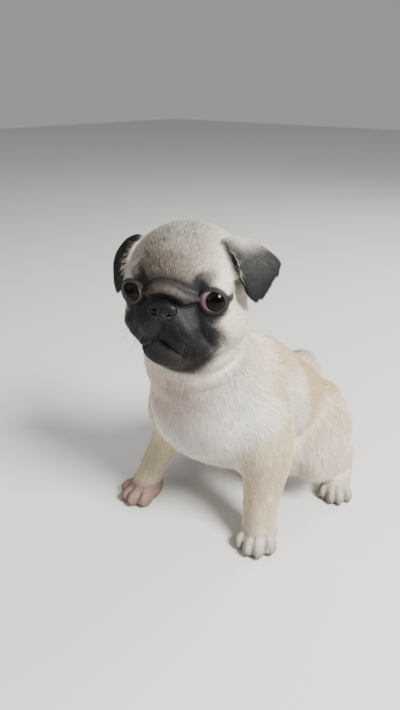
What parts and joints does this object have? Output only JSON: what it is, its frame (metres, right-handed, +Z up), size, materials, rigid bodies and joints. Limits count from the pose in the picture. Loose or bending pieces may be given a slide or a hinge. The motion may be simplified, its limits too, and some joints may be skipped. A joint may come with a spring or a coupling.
{
  "type": "pug puppy",
  "caption": "Still, life-size model of a short-muzzled fawn pug puppy with dark mask and folded ears, in a low half-squat on its paws, head turned to its left",
  "frame": {"origin": "on the floor under the middle of the model's bounding box", "axes": "+Z up, the body faces -Y, the puppy's left side is +X; metres"},
  "size_m": [0.1484, 0.2074, 0.2321],
  "materials": {
    "coat_fawn": "short, soft fawn fur, matt",
    "coat_cream": "short, soft cream fur, matt",
    "coat_black": "short black fur of mask and ears, slightly glossy",
    "nose_leather": "moist black nose leather with a fine grain",
    "eye": "wet, very dark brown eye",
    "claw": "dark horn of claws and whiskers"
  },
  "bodies": {
    "root": {"head": "coat_fawn", "lower_jaw": "coat_black", "nose": "nose_leather", "ear_left": "coat_black", "ear_right": "coat_black", "eye_left": "eye", "eye_right": "eye", "neck": "coat_cream", "torso": "coat_fawn", "tail": "coat_cream", "foreleg_left": "coat_cream", "foreleg_right": "coat_cream", "forepaw_left": "coat_cream", "forepaw_right": "coat_cream", "hindleg_left": "coat_cream", "hindleg_right": "coat_cream", "hindpaw_left": "coat_cream", "hindpaw_right": "coat_cream"}
  },
  "joints": []
}
